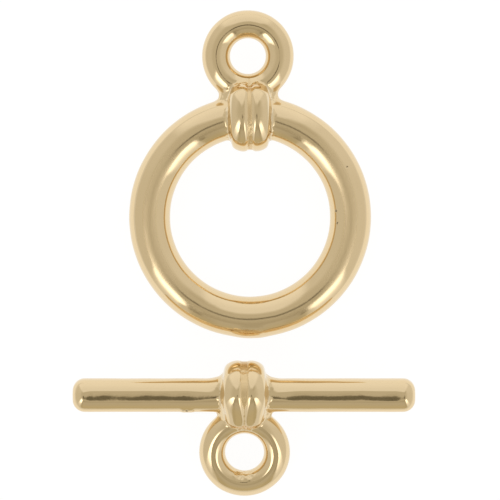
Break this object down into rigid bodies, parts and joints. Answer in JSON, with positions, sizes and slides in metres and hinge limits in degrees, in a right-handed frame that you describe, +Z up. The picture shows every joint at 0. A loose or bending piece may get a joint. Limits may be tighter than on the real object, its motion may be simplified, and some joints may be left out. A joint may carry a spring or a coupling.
{
  "type": "toggle clasp",
  "caption": "Jewellery toggle clasp: a round ring and the bar that passes through it, each with a wrapped collar and a small eye for a jump ring.",
  "frame": {"origin": "on the surface that both halves lie on, under the middle of the two halves together", "axes": "+X along the bar, +Y from the bar half to the ring half, +Z up"},
  "size_m": [0.0212, 0.03, 0.0043],
  "materials": {
    "gold_plate": "polished pale gold plating on a casting"
  },
  "bodies": {
    "root": {"ring_half": "gold_plate", "bar_half": "gold_plate"}
  },
  "joints": []
}
